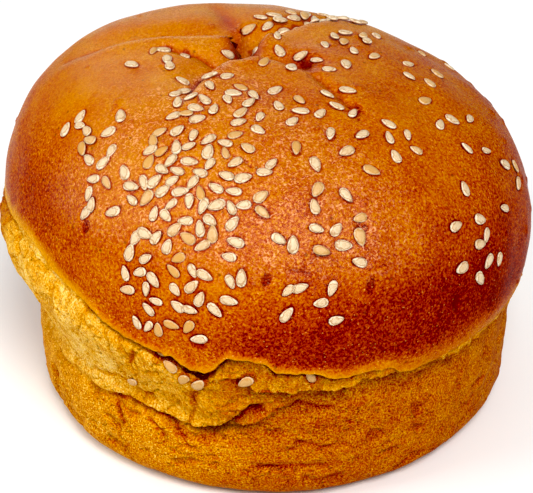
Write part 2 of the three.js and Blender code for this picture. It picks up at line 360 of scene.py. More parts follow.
def band(phi, t):
    bottom = around(phi, WALL_RADIUS + 0 * phi, wall_top(phi))
    top = ledge(phi, 0 * t)
    torn = stretch(phi, *TEAR_STRETCH)
    tall = top[..., 2] - bottom[..., 2]
    low = bottom + outward(phi, -0.8 * (1 - torn) - 0.4 * TEAR_BULGE * torn)
    high = top + outward(phi, -1.2 * (1 - torn) + TEAR_BULGE * torn)
    low[..., 2] += 1.5 * (1 - torn) + 0.32 * tall * torn
    high[..., 2] += 1.5 * (1 - torn) - 0.25 * tall * torn
    s = np.asarray(t + 0 * phi)[..., None]
    point = ((1 - s) ** 3 * bottom + 3 * (1 - s) ** 2 * s * low
             + 3 * (1 - s) * s ** 2 * high + s ** 3 * top)
    knot = stretch(phi, *KNOT_STRETCH) * hump(point[..., 2] - KNOT_HEIGHT, KNOT_TALL)
    return point + outward(phi, KNOT_SIZE * knot)


def ledge(phi, t):
    start = slope_at(lip_height(phi))
    end = slope_at(crust_height(phi))
    return dome(phi, start + (end - start) * t) - outward(phi, skin_inset(phi))


def tuck(phi, t):
    """The torn crumb goes on up inside the crown, where the crust's edge hides it"""
    point = ledge(phi, 1 + 0 * t) - outward(phi, INNER_DEPTH * t + 0 * phi)
    point[..., 2] += INNER_RISE * t
    return point


def lay_rows(rows, shapes):
    """Points row by row up the bun, with each row's stretch and its share of the way up it"""
    even = np.arange(COLUMNS) * 2 * np.pi / COLUMNS
    bearings = even - CLOSER_IN_FRONT * np.sin(even + np.pi / 2)
    grid, kinds, shares = [], [], []
    for kind, count in rows.items():
        for i in range(1, count + 1):
            share = (i / count) ** ROW_CROWDING.get(kind, 1.0)
            grid.append(shapes[kind](bearings, np.full(COLUMNS, share)))
            kinds.append(kind)
            shares.append(share)
    phi = np.repeat(bearings[None, :], len(grid), axis=0)
    return np.array(grid), phi, np.array(kinds)[:, None], np.array(shares)[:, None]


def facing(grid):
    """Outward directions of a grid of rows"""
    round_step = np.roll(grid, -1, axis=1) - np.roll(grid, 1, axis=1)
    across = np.cross(round_step, np.gradient(grid, axis=0))
    return across / (np.linalg.norm(across, axis=-1, keepdims=True) + 1e-9)


def nearest_on(ways, x, y):
    """Distance from a line of points, on which side of it, and the share of the way along it"""
    line = np.array(ways, float)
    nearest = np.full(np.shape(x), 1e9)
    aside = np.zeros(np.shape(x))
    share = np.zeros(np.shape(x))
    for i in range(len(line) - 1):
        step = line[i + 1] - line[i]
        part = ((x - line[i, 0]) * step[0] + (y - line[i, 1]) * step[1]) / (step @ step)
        part = np.clip(part, 0, 1)
        gap_x = x - line[i, 0] - part * step[0]
        gap_y = y - line[i, 1] - part * step[1]
        gap = np.hypot(gap_x, gap_y)
        closer = gap < nearest
        turn = np.sign(step[0] * gap_y - step[1] * gap_x)
        nearest = np.where(closer, gap, nearest)
        aside = np.where(closer, turn * gap, aside)
        share = np.where(closer, (i + part) / (len(line) - 1), share)
    return aside, share


def curve(start, middle, end, steps):
    along = np.linspace(0, 1, steps + 1)[:, None]
    return ((1 - along) ** 2 * np.array(start, float) + 2 * along * (1 - along) * np.array(middle)
            + along ** 2 * np.array(end))


def skinned(name, grid, ends, layers):
    """A closed mesh of the grid's rows and a point at each end, with a value per point and layer"""
    count = len(grid)
    vertices = np.concatenate([[ends[0]], grid.reshape(-1, 3), [ends[1]]])
    here = 1 + np.arange(count * COLUMNS).reshape(count, COLUMNS)
    beside = np.roll(here, -1, axis=1)
    quads = np.stack([here[:-1], beside[:-1], beside[1:], here[1:]], -1).reshape(-1, 4)
    last = len(vertices) - 1
    faces = [(0, b, a) for a, b in zip(here[0].tolist(), beside[0].tolist())]
    faces += quads.tolist()
    faces += [(a, b, last) for a, b in zip(here[-1].tolist(), beside[-1].tolist())]
    mesh = bpy.data.meshes.new(name)
    mesh.from_pydata((vertices * MM).tolist(), [], faces)
    mesh.polygons.foreach_set("use_smooth", [True] * len(faces))
    for layer_name, values in layers.items():
        flat = values.reshape(count * COLUMNS, -1)
        flat = np.concatenate([[flat[0]], flat, [flat[-1]]])
        kind = "FLOAT" if flat.shape[1] == 1 else "FLOAT_VECTOR"
        layer = mesh.attributes.new(layer_name, kind, "POINT")
        layer.data.foreach_set("value" if kind == "FLOAT" else "vector", flat.ravel())
    made = bpy.data.objects.new(name, mesh)
    scene.collection.objects.link(made)
    return made


# The solid's box is centred on the frame, and its sole's middle lies here
SOLE_MIDDLE_X = 1.764
SOLE_MIDDLE_Y = 1.179
shift = np.array([SOLE_MIDDLE_X - SOLE_OFFSET_X, SOLE_MIDDLE_Y, 0.0])

side_shapes = {"sole": sole, "edge": edge, "wall": wall, "band": band, "ledge": ledge,
               "tuck": tuck}
grid, phi, kinds, shares = lay_rows(SIDE_ROWS, side_shapes)
height = grid[..., 2]
normals = facing(grid)
torn = stretch(phi, *TORN_STRETCH)
front = stretch(phi, *LEDGE_STRETCH)
flap = stretch(phi, *FLAP_STRETCH)
on_wall = ((kinds == "wall") | (kinds == "edge")) + 0 * phi
on_band = (kinds == "band") + 0 * phi
on_ledge = (kinds == "ledge") + 0 * phi
above_wall = height - wall_top(phi)

# Soft ripples and a few dents where the wall lay against the tin
ripples = 0.22 * cloud(grid * (0.5, 0.5, 1.0), 2.2, 1, 2) + 0.35 * cloud(grid, 11.0, 2)
dents = (smooth((cloud(grid * (0.7, 0.7, 1.2), 4.0, 3) - 0.4) / 0.2)
         + 0.6 * smooth((cloud(grid * (0.8, 0.8, 1.4), 1.9, 17) - 0.5) / 0.15))
chips = hump(cloud(grid * (0.6, 0.6, 1.3), 3.4, 18, 2), 0.06) * smooth(
    cloud(grid, 8.0, 19) / 0.2) * smooth((height - 3) / 3)
wall_relief = ripples - DENT_DEPTH * dents - CHIP_DEPTH * chips

# Stretched crumb: strands that run up and down, soft lumps, and shingled flakes below the lip
strands = 0.18 * cloud(grid * (1.0, 1.0, 0.5), 1.4, 4, 2)
lumps = 0.7 * cloud(grid * (1.0, 1.0, 0.6), 6.5, 5, 2)
flake_zone = stretch(phi, *FLAKE_STRETCH) * smooth((height - 17) / 3)
flake = (height / 2.1 + 1.3 * cloud(grid, 5.0, 6, 2)) % 1.0
flakes = FLAKE_DEPTH * (1 - flake) * flake_zone * smooth(flake / 0.12)
cracks = -0.45 * hump(cloud(grid * (1.0, 1.0, 0.7), 4.0, 7, 2), 0.07)
band_relief = strands + lumps * (0.4 + 0.6 * torn) + flakes + cracks * (0.35 + 0.65 * torn)
ledge_relief = (0.4 * cloud(grid * (1.0, 1.0, 0.7), 1.6, 8, 2) + 0.5 * cracks
                + 0.4 * cloud(grid, 4.0, 9))

# The edge of the lip stands proud and the crumb is drawn in below it and below the crust's edge,
# so each throws a thin dark shadow
from_lip = height - lip_height(phi)
below_crust = crust_height(phi) + stray(phi, CRUST_STRAYS) - height
nose = 0.4 * hump(from_lip - 0.4, 0.6) * flap
lip_groove = stretch(phi, *GROOVE_STRETCH) * hump(np.minimum(from_lip, 0) + 0.8, 0.8)
crust_groove = flap * (1 - smooth((below_crust - 0.9) / 0.8)) * on_ledge
roll = (0.7 * torn + 0.5 * stretch(phi, *ROLL_STRETCH)) * (
    hump(above_wall - 1.4, 1.2) - 0.8 * hump(above_wall + 0.4, 0.7))

crease_relief = np.zeros(phi.shape)
crease_shade = np.zeros(phi.shape)
arc = ((phi + np.pi) % (2 * np.pi) - np.pi) * WALL_RADIUS
wander = 0.6 * cloud(grid, 3.0, 10, 2)
for way, depth, width in CREASES:
    line = [(math.radians(b) * WALL_RADIUS, z) for b, z in way]
    aside, share = nearest_on(line, arc + wander, height + wander)
    fade = smooth(share / 0.15) * smooth((1 - share) / 0.15)
    crease_relief -= depth * fade * hump(aside, width)
    # Darker colour along each crease: painted shade
    crease_shade = np.maximum(crease_shade, fade * min(depth, 1.0) * hump(aside, 0.42))

relief = (on_wall * (wall_relief + roll)
          + on_band * (band_relief + roll - LIP_GROOVE_DEPTH * lip_groove)
          + on_ledge * (ledge_relief + nose - CRUST_GROOVE_DEPTH * crust_groove)
          + (on_wall + on_band + on_ledge) * crease_relief)
relief = relief * np.where(kinds == "edge", smooth(shares), 1.0)

# The torn lip wanders up and down, with small bites out of it, and the ledge follows the crust
lip_wander = (stray(phi, LIP_STRAYS) + 0.35 * ring_cloud(phi, 2.2, 12) * flap
              + 0.6 * np.minimum(ring_cloud(phi, 3.0, 13) + 0.3, 0) * flap)
near_lip = np.where(from_lip > 0, 1 - smooth(from_lip / 4.0), hump(from_lip, 2.0))
up_ledge = np.where(kinds == "ledge", shares, (kinds == "tuck") * 1.0)
side_grid = grid + normals * relief[..., None]
side_grid[..., 2] += (on_band + on_ledge) * near_lip * lip_wander
side_grid[..., 2] += up_ledge * np.maximum(stray(phi, CRUST_STRAYS), 0)
side_grid[..., 2] = np.maximum(side_grid[..., 2], 0.0)

# How far each place of the side is baked, with painted shade in grooves, cracks and creases
wall_bake = (WALL_BAKE + 0.14 * stretch(phi, *BROWN_WALL_STRETCH) + 0.05 * hump(height - 2, 4.0)
             - 0.1 * stretch(phi, *PALE_WALL_STRETCH)
             + 0.05 * cloud(grid, 9.0, 14, 2) + 0.12 * dents + 0.14 * chips)
pale = stretch(phi, *PALE_BAND_STRETCH)
band_bake_and_shade = (BAND_BAKE - 0.14 * pale - 0.06 * stretch(phi, *GOLD_BAND_STRETCH)
             + 0.1 * (1 - torn) + 0.2 * stretch(phi, *BROWN_BAND_STRETCH)
             - 0.04 * pale * hump(above_wall - 10, 6.0)
             + 0.09 * cloud(grid * (1.0, 1.0, 0.6), 5.0, 15, 2)
             # Darker in the groove under the lip and in the cracks: painted shade
             + 0.2 * flake_zone * (0.5 + 0.5 * flake) + 0.7 * lip_groove - 0.3 * cracks)
band_bake_and_shade += (wall_bake - band_bake_and_shade) * (1 - smooth(above_wall / (1.5 + 4.5 * (1 - torn))))
ledge_bake_and_shade = (LEDGE_BAKE + 0.12 * cloud(grid, 3.0, 16, 2)
              + 0.12 * cloud(grid * (1, 1, 0.25), 1.3, 20)
              + 0.16 * stretch(phi, *BROWN_LIP_STRETCH)
              + 0.06 * (1 - front) * (1 - torn) - 0.12 * pale
              # Darker in the groove under the crust's edge: painted shade
              - 0.1 * hump(from_lip - 0.3, 0.5) * flap + 0.8 * crust_groove)
bake_and_painted_light = on_wall * wall_bake + on_band * band_bake_and_shade + on_ledge * ledge_bake_and_shade
# The crumb hidden under the crust's edge is dark mahogany, and the creases darker: painted shade
bake_and_painted_light = np.where(kinds == "tuck", TUCK_SHADE, bake_and_painted_light) + CREASE_SHADE * crease_shade
# The sole baked on the hot tray: a deeper brown than the wall, a little uneven
bake_and_painted_light = np.where(kinds == "sole", SOLE_BAKE + 0.1 * cloud(grid, 7.0, 35, 2), bake_and_painted_light)
fibre = np.stack([RIM_RADIUS * np.cos(phi), RIM_RADIUS * np.sin(phi), 0.22 * height], -1) * MM
open_crumb = np.clip(on_band + on_ledge + on_wall * hump(above_wall, 1.5) * torn, 0, 1)

side = skinned("bun_side", side_grid + shift,
               (sole(0.0, 0.0) + shift, np.array([SOLE_MIDDLE_X, SOLE_MIDDLE_Y, 38.0])),
               {"bake_and_painted_light": bake_and_painted_light, "fibre": fibre, "open_crumb": open_crumb})


def add(tree, kind, inputs=None, stops=None, **settings):
    """Adds a node with its settings, its input values or links, and a ramp's stops"""
    made = tree.nodes.new(kind)
    for name, value in settings.items():
        setattr(made, name, value)
    plug(tree, made, inputs or {})
    if stops:
        ends = made.color_ramp.elements
        while len(ends) < len(stops):
            ends.new(0.5)
        for stop, (position, code) in zip(ends, stops):
            stop.position = position
            stop.color = linear(code)
    return made


# Oven colours of enriched dough, from pale crumb through gold and amber to mahogany
OVEN_TONES = ((0.0, "#EED084"), (0.1, "#E6BA4A"), (0.2, "#DCA424"), (0.3, "#D0920A"),
              (0.42, "#C28000"), (0.54, "#B76A00"), (0.64, "#AE5400"), (0.74, "#A03C00"),
              (0.86, "#8E1E00"), (1.0, "#680200"))

# Dry torn crumb and tin-baked wall: matt and fine-grained like coarse paper, with small pores,
# and where it stretched, strands that run up and down among shreds of torn dough.
crumb, tree, shader = start_material("baked_bread_crumb", {
    "Roughness": 0.7, "Specular IOR Level": 0.08, "Specular Tint": linear("#FFC080"),
    "Subsurface Weight": 0.1, "Subsurface Radius": (1.0, 0.45, 0.12),
    "Subsurface Scale": 1.5 * MM})
place = add(tree, "ShaderNodeTexCoord").outputs["Object"]
fibre_layer = add(tree, "ShaderNodeAttribute", attribute_name="fibre").outputs["Vector"]
bake_and_painted_light_layer, open_layer = (add(tree, "ShaderNodeAttribute", attribute_name=name).outputs["Fac"]
                          for name in ("bake_and_painted_light", "open_crumb"))
grain, patch, strand, shred = (
    add(tree, "ShaderNodeTexNoise", {
        "Vector": where, "Scale": 1 / (size * MM), "Detail": detail, "Roughness": fineness,
        "Distortion": twist})
    for where, size, detail, fineness, twist in (
        (place, 0.32, 2.0, 0.65, 0.0), (place, 3.2, 3.0, 0.6, 0.0),
        (fibre_layer, 0.45, 3.0, 0.6, 0.6), (place, 0.9, 3.0, 0.6, 1.8)))
pores = add(tree, "ShaderNodeTexVoronoi", {"Vector": place, "Scale": 1 / (1.0 * MM)})

# The bake and its painted shade, broken up by fine texture and larger patches, pick the oven colour
strand_share = add(tree, "ShaderNodeMath", {0: open_layer, 1: 0.3}, operation="MULTIPLY")
texture = add(tree, "ShaderNodeMix", {0: strand_share, 2: grain, 3: strand}, data_type="FLOAT")
texture_shift = add(tree, "ShaderNodeMath", {0: texture, 1: 0.5}, operation="SUBTRACT")
texture_force = add(tree, "ShaderNodeMapRange", {
    "Value": bake_and_painted_light_layer, "From Min": 0.2, "From Max": 0.5, "To Min": -1.4, "To Max": -1.7})
textured = add(tree, "ShaderNodeMath", {0: texture_shift, 1: texture_force, 2: bake_and_painted_light_layer},
               operation="MULTIPLY_ADD")
patch_shift = add(tree, "ShaderNodeMath", {0: patch, 1: 0.5}, operation="SUBTRACT")
bake_with_painted_light = add(tree, "ShaderNodeMath", {0: patch_shift, 1: 0.42, 2: textured},
           operation="MULTIPLY_ADD")
colour = add(tree, "ShaderNodeValToRGB", {"Fac": bake_with_painted_light}, stops=OVEN_TONES)

# Brown pores, amber clefts between the shreds and straw-coloured wisps on them
pore = add(tree, "ShaderNodeMapRange", {"Value": pores, "From Min": 0.22, "From Max": 0.08})
pore_depth = add(tree, "ShaderNodeMath", {0: open_layer, 1: -0.1, 2: 0.4},
                 operation="MULTIPLY_ADD")
cleft = add(tree, "ShaderNodeMapRange", {
    "Value": shred, "From Min": 0.44, "From Max": 0.33, "To Max": 0.45})
wisp = add(tree, "ShaderNodeMapRange", {
    "Value": shred, "From Min": 0.57, "From Max": 0.68, "To Max": 0.6})
for mark, layer, code in ((pore, pore_depth, "#843800"), (cleft, open_layer, "#AE5800"),
                          (wisp, open_layer, "#EEBE44")):
    share = add(tree, "ShaderNodeMath", {0: mark, 1: layer}, operation="MULTIPLY")
    colour = add(tree, "ShaderNodeMix", {0: share, 6: colour, 7: linear(code)},
                 data_type="RGBA")
pitted = add(tree, "ShaderNodeMath", {0: pore, 1: -0.7, 2: texture}, operation="MULTIPLY_ADD")
ragged = add(tree, "ShaderNodeMath", {0: shred, 1: open_layer, 2: pitted},
             operation="MULTIPLY_ADD")
knobbly = add(tree, "ShaderNodeMath", {0: patch, 1: 1.2, 2: ragged}, operation="MULTIPLY_ADD")
bump = add(tree, "ShaderNodeBump", {"Height": knobbly, "Strength": 1.0, "Distance": 0.3 * MM})
plug(tree, shader, {"Base Color": colour, "Normal": bump})
side.data.materials.append(crumb)
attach(side, "root")
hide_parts("bun")

# Crown: the top of the same roll, risen free of the tin, brushed with egg and baked to a glossy
# brown skin. Folds from the baker's pinch meet in a pit on top, and the skin's torn edge hangs
# over the pale crumb. The folds each have three plan points, a depth, a width on the low and on
# the rolled side, the height of the roll, and the side of the way that is rolled.
HOLLOWS = ((-3.2, 2.0, 1.6, 2.6), (7.0, -3.2, 1.0, 2.6))
FOLDS = (
    (((-3, 6.5), (-12, 8.5), (-37, 7)), 2.2, 4.5, 1.6, 0.7, 1),
    (((-3, 7), (-2.4, 2), (-4.2, -4)), 2.6, 2.6, 1.4, 0.5, -1),
    (((-4.5, -3.6), (-9.5, -3), (-13.3, -17.6)), 2.0, 3.5, 1.5, 0.6, 1),
    (((-8.3, -3.2), (-12, -1), (-19, 2)), 0.9, 1.6, 0.9, 0.15, -1),
    (((-2.5, 5.5), (3.5, 9), (15, 22)), 1.4, 2.4, 1.6, 0.4, -1),
    (((-4, -3), (4, -1.5), (9.5, -8)), 1.3, 3.0, 1.4, 0.3, -1),
    (((9.5, -9), (13, -14), (15.5, -18)), 0.7, 1.2, 1.0, 0.0, 1),
    (((-4, 8.5), (-6, 14), (-9.5, 24)), 0.8, 3.0, 3.0, 0.0, 1),
)
FOLD_STEPS = 24
FOLD_FADE = 0.55
SKIN_THICKNESS = 0.3
FLAP_THICKER = 0.6
UNDERSIDE_WIDTH = 3.0
SHEEN_ROLL = 0.55
CRACK_DEPTH = 0.35
DIMPLE_DEPTH = 0.2
PRINT_DEPTH = 0.35
CROWN_ROWS = {"underside": 6, "crown": 132}

# Plan points of the fine cracks on the crown laid out flat, and the place there and the turn of
# each print that a lost seed left
CRACKS = (((4.6, -45.9), (6.4, -45.7), (9.4, -45.2)),
          ((9.2, -42.6), (10.8, -41.2), (14.4, -41.4)),
          ((14.0, -10.8), (15.2, -12.2), (15.4, -14.6)),
          ((-2.0, -26.5), (0.4, -27.4), (1.6, -29.4)))
PRINTS = ((17.3, -41.1, 100), (32.6, -35.7, 80), (-33.1, -35.8, 85), (10.2, 0.2, 20),
          (15.4, -11.6, 60), (15.2, -33.0, 30), (1.6, -47.6, 70))

# How far the crust is baked, and the stretches of it where the bake or the egg wash differs
CROWN_BAKE = 0.49
UNDERSIDE_BAKE = 0.28
EDGE_BAKE = 0.4
# The belt's dark colour is partly a deeper bake and partly painted shade
BELT_STRETCH = (-66.0, 20.0, 28.0)
HIGH_BELT_STRETCH = (-48.0, 14.0, 26.0)
LOW_FRONT_STRETCH = (-96.0, 34.0, 36.0)
PALE_RIM_STRETCH = (-98.0, 24.0, 36.0)
BROWN_RIGHT_STRETCH = (-34.0, 46.0, 30.0)
BROWN_LEFT_STRETCH = (-136.0, 20.0, 24.0)
LEFT_END_STRETCH = (-166.0, 20.0, 26.0)
GOLD_EDGE_STRETCH = (-44.0, 14.0, 20.0)
DARK_EDGE_STRETCH = (-46.0, 16.0, 16.0)
POOLED_STRETCH = (-99.0, 31.0, 26.0)


def fold_relief(x, y):
    """How far the folds push the crown up or down, and how deep in a crease a point lies"""
    relief = np.zeros(np.shape(x))
    crease = np.zeros(np.shape(x))
    for middle_x, middle_y, depth, radius in HOLLOWS:
        sunk = hump(np.hypot(x - middle_x, y - middle_y), radius)
        relief = relief - depth * sunk
        crease = np.maximum(crease, 0.6 * depth * sunk)
    for way, depth, low, high, roll_height, rolled_side in FOLDS:
        aside, share = nearest_on(curve(*way, FOLD_STEPS), x, y)
        aside = aside * rolled_side
        fade = 1 - np.clip((share - FOLD_FADE) / (1 - FOLD_FADE), 0, 1) ** 2
        relief = relief - depth * fade * hump(aside, np.where(aside > 0, high, low))
        relief = relief + roll_height * fade * hump(aside - 2.2 * high, 1.6 * high)
        crease = np.maximum(crease, fade * min(1.0, depth / 2) * hump(aside, 0.45 * high))
    return relief, crease


def crown(phi, t):
    start = slope_at(crust_height(phi))
    rise = 1 - (1 - t) ** (1 / DOME_OUT)
    point = dome(phi, start + (np.pi / 2 - start) * rise)
    point[..., 2] += fold_relief(point[..., 0], point[..., 1])[0]
    return point


def underside(phi, t):
    """The thin rounded edge of the skin, from inside the bun out to the start of the crown"""
    thick = SKIN_THICKNESS + FLAP_THICKER * stretch(phi, *FLAP_STRETCH)
    turn = np.clip(t * 1.5 - 0.5, 0, 1) * np.pi / 2
    inside = UNDERSIDE_WIDTH * np.clip(1 - 1.5 * t, 0, 1) ** 1.5
    point = crown(phi, 0 * phi) - outward(phi, inside + thick * (1 - np.sin(turn)))
    point[..., 2] += 0.5 * inside - 0.6 * thick * np.cos(turn) * smooth(t * 3)
    return point


# Where the seeds fell, by the same rule as the solid: drifts on the crown laid out flat, each with
# its middle, half length, half width, turn and number of seeds. Those caught under the lip have a
# shape, a bearing and a share of the way up it, and the heaped ones are drifts that lie closer.
# A pair for a size, a rise in mm or a breadth is where its draw starts and how far it goes.
SEED_SIZES = (0.88, 0.24)
SEED_RISES = (0.3, -0.22)
SEED_BREADTHS = (0.78, 0.26)
SEED_LEAN = 0.2
SEED_SPACING = 2.1
SEED_TRIES = 40
SEED_DRAW = 2828
DRAW_STEP = 16807
DRAW_RANGE = 2147483647
CROWN_REACH = 60.0
DRIFT_CROWDING = 0.6
DRIFT_LIMIT = 0.96
DRIFTS = (
    (-3, -10, 7, 4, 0, 9),
    (-4, -20, 8, 6, -30, 15),
    (-9, -31, 11, 9, -80, 42),
    (-14, -47, 13, 9.5, 10, 35),
    (-27, -31, 9, 7, -70, 12),
    (-25, -19, 11, 6, -20, 8),
    (8, -32, 13, 10, -75, 18),
    (7, -48, 9, 6, 0, 6),
    (3, -14, 8, 6, 0, 12),
    (16, -16, 9, 6, -60, 13),
    (30, -7, 13, 6, -10, 11),
    (34, -24, 11, 7, -70, 10),
    (7, 14, 9, 3.5, 52, 22),
    (9, 2, 9, 6, 10, 14),
    (24, 7, 10, 6, 20, 7),
    (-13, -1, 9, 4, 15, 6),
    (4, 34, 18, 11, 0, 10),
)
CAUGHT_LIFT = 0.12
CAUGHT_TOAST = 0.94
CAUGHT = ((ledge, -111, 0.6), (band, -108.5, 0.93), (band, -106, 0.78), (band, -103, 0.76),
          (band, -122, 0.36), (ledge, -93, 0.3), (ledge, -80, 0.6))
HEAPED = (
    (10, 15, 6, 2.2, 30, 9),
    (15, 17.5, 5, 2, 10, 5),
    (17, 8, 4, 3, 0, 4),
)
HEAP_SPACING = 1.5
HEAP_LIFT = 0.35
SEED_LENGTH = 2.85
SEED_WIDTH = 1.75
SEED_THICKNESS = 0.85
PROBE_STEP = 0.005
PROBE_REACH = 2.5


def make_draw(start):
    """Numbers between 0 and 1, the same ones in each run"""
    state = start
    while True:
        state = state * DRAW_STEP % DRAW_RANGE
        yield state / DRAW_RANGE


def scatter(drifts, spacing, draw, taken):
    """Seeds of those drifts that lie clear of the ones taken, by that spacing"""
    spots = []
    for x, y, long, wide, turn, count in drifts:
        wanted = len(spots) + count
        angle = math.radians(turn)
        for _ in range(count * SEED_TRIES):
            if len(spots) == wanted:
                break
            out = next(draw) ** DRIFT_CROWDING
            bearing = 2 * math.pi * next(draw)
            along = long * out * math.cos(bearing)
            across = wide * out * math.sin(bearing)
            spot = (along * math.cos(angle) - across * math.sin(angle) + x,
                    along * math.sin(angle) + across * math.cos(angle) + y)
            share = math.hypot(*spot) / CROWN_REACH
            if share < DRIFT_LIMIT and all(math.dist(spot, o) > spacing for o in taken):
                taken.append(spot)
                turned = 2 * math.pi * next(draw)
                size = SEED_SIZES[0] + SEED_SIZES[1] * next(draw)
                spots.append((crown, math.atan2(spot[1], spot[0]), 1 - share, turned, size, 0))
    return spots


def seed_spots():
    """Shape, bearing, share of the way up it, turn, size and lift of every seed"""
    draw = make_draw(SEED_DRAW)
    taken = []
    spots = scatter(DRIFTS, SEED_SPACING, draw, taken)
    for shape, bearing, share in CAUGHT:
        turned = 2 * math.pi * next(draw)
        size = SEED_SIZES[0] + SEED_SIZES[1] * next(draw)
        spots.append((shape, math.radians(bearing), share, turned, size, CAUGHT_LIFT))
    return spots + [(*spot[:5], HEAP_LIFT) for spot in scatter(HEAPED, HEAP_SPACING, draw, taken)]


def seat(shape, phi, t, turn):
    """A seed's middle, and the directions of its length, its width and its outer face"""
    phi = np.asarray(phi, float)
    t = np.asarray(t, float)
    point = shape(phi, t)
    length = shape(phi + PROBE_STEP, t) - point
    length = length / np.linalg.norm(length)
    normal = np.cross(length, shape(phi, t + PROBE_STEP) - point)
    normal = normal / np.linalg.norm(normal)
    length = length * math.cos(turn) + np.cross(normal, length) * math.sin(turn)
    return point, length, np.cross(normal, length), normal


def seed_ring(local, length, width, size=1.0):
    """How far out from a seed's middle points lie: 1 on its edge"""
    return np.hypot(local @ length * 2 / SEED_LENGTH, local @ width * 2 / SEED_WIDTH) / size


spots = seed_spots()
seats = [(*seat(*spot[:4]), *spot[4:], spot[0] is crown) for spot in spots]

grid, phi, kinds, shares = lay_rows(CROWN_ROWS, {"underside": underside, "crown": crown})
height = grid[..., 2]
normals = facing(grid)
on_crown = (kinds == "crown") + 0 * phi
up = np.where(kinds == "crown", shares, 0.0) + 0 * phi
crust_gap = np.maximum(height - crust_height(phi), 0)
front = stretch(phi, *LEDGE_STRETCH)
flap = stretch(phi, *FLAP_STRETCH)
_, crease = fold_relief(grid[..., 0], grid[..., 1])

swells = 0.4 * cloud(grid, 17.0, 21, 2) + 0.12 * cloud(grid, 5.0, 22)
blisters = smooth((cloud(grid, 2.6, 23) - 0.66) / 0.12)
flat_x = CROWN_REACH * (1 - up) * np.cos(phi)
flat_y = CROWN_REACH * (1 - up) * np.sin(phi)
relief = (swells * smooth(up * 12) + 0.2 * blisters - 0.5 * crease
          + 0.6 * flap * hump(crust_gap - 0.3, 0.8)
          + 0.2 * cloud(grid, 1.4, 24) * hump(crust_gap, 1.2))

# The longest fold rolls over gently on its near side, so a wide sheen runs along it
aside, share = nearest_on(curve(*FOLDS[0][0], FOLD_STEPS), grid[..., 0], grid[..., 1])
rolled = (1 - share ** 4) * on_crown
relief -= SHEEN_ROLL * rolled * hump(aside * FOLDS[0][-1] - 2.6, 1.3)
rolled *= hump(aside * FOLDS[0][-1] - 1.4, 1.5)

# Fine cracks where the skin split as it dried
split = np.zeros(phi.shape)
for way in CRACKS:
    aside, share = nearest_on(way, flat_x + 0.25 * cloud(grid, 0.9, 26), flat_y)
    split = np.maximum(split, smooth(share * 5) * smooth((1 - share) * 5) * hump(aside, 0.3))
relief -= CRACK_DEPTH * split * on_crown

# Each seed pressed a dimple into the proved dough, and a painted contact shadow darkens round it
NO_SEED_NEAR = 9.0
seed_gap = np.full(phi.shape, NO_SEED_NEAR)
for point, length, width, normal, size, *_ in seats:
    near = np.abs(grid - point).max(axis=-1) < 3.5
    ring = seed_ring(grid[near] - point, length, width, size)
    seed_gap[near] = np.minimum(seed_gap[near], (ring - 1) * SEED_WIDTH / 2)
relief -= DIMPLE_DEPTH * smooth((0.5 - seed_gap) / 0.6)

# Some fell off again and left their print in the glaze
print_gap = np.full(phi.shape, NO_SEED_NEAR)
for x, y, turn in PRINTS:
    point, length, width, _ = seat(crown, math.atan2(y, x), 1 - math.hypot(x, y) / CROWN_REACH,
                                   math.radians(turn))
    ring = seed_ring(grid - point, length, width)
    print_gap = np.minimum(print_gap, ring + 0.2 * cloud(grid, 0.8, 27))
prints = smooth((1.1 - print_gap) / 0.4) * on_crown
relief -= PRINT_DEPTH * prints

edge_wander = (stray(phi, CRUST_STRAYS) + 0.3 * flap * ring_cloud(phi, 1.6, 32)
               + 0.5 * flap * np.minimum(ring_cloud(phi, 2.4, 33) + 0.3, 0))
crown_grid = grid + normals * (relief * on_crown)[..., None]
crown_grid[..., 2] += edge_wander * hump(crust_gap, 2.6)

# Darkest in a belt low on the front right, partly a deeper bake and partly painted shade, golden
# close to the torn edge, deeper in the creases as painted shade
belt = (stretch(phi, *BELT_STRETCH) * (1 - smooth((height - 37) / 11))
        + 0.5 * stretch(phi, *HIGH_BELT_STRETCH) * (1 - smooth((height - 42) / 14)))
low_front = stretch(phi, *LOW_FRONT_STRETCH) * hump(height - 38, 5.0)
rim_bake = (1 - smooth(up / 0.6)) * (1 - 0.75 * stretch(phi, *PALE_RIM_STRETCH))
bake_and_painted_light = (CROWN_BAKE + 0.2 * rim_bake + stretch(phi, *BROWN_RIGHT_STRETCH) * (0.17 - 0.13 * up)
         + 0.15 * np.minimum(belt, 1.1) + 0.02 * low_front
         + 0.07 * stretch(phi, *BROWN_LEFT_STRETCH) * (1 - smooth((up - 0.2) / 0.35))
         + 0.05 * cloud(grid, 9.0, 25, 2) + 0.08 * blisters + 0.25 * split + 0.3 * prints)
left_end = stretch(phi, *LEFT_END_STRETCH)
gold_width = (1.3 + 2.0 * left_end + 0.5 * front + 5.0 * stretch(phi, *GOLD_EDGE_STRETCH)) * (
    1 + 0.3 * ring_cloud(phi, 3.0, 34))
# A paler line right at the flap's edge, where it catches the light: a painted highlight on its gold
edge_tone = (EDGE_BAKE - 0.14 * left_end - 0.12 * flap * hump(crust_gap, 0.4)
             + 0.12 * stretch(phi, *DARK_EDGE_STRETCH))
bake_and_painted_light = edge_tone + (bake_and_painted_light - edge_tone) * smooth((crust_gap - 0.1) / gold_width)
bake_and_painted_light = np.where(kinds == "underside", UNDERSIDE_BAKE + 0.4 * flap, bake_and_painted_light)

# The egg wash pooled on the front, on top and along the longest fold, and ran thin towards the
# rim, the back and the far right
pooled = np.maximum(stretch(phi, *POOLED_STRETCH),
                    0.3 * smooth((up - 0.45) / 0.2) * (1 - 0.75 * smooth((grid[..., 1] - 4) / 16))
                    * (1 - 0.6 * smooth((grid[..., 0] - 4) / 16)))
pooled += 0.6 * rolled
# The same layer sets the gloss, and how strongly the painted glints show on the crust's ridges
egg_wash = 0.01 + 0.48 * pooled * smooth((normals[..., 2] - 0.3) / 0.26) * smooth(up / 0.1)

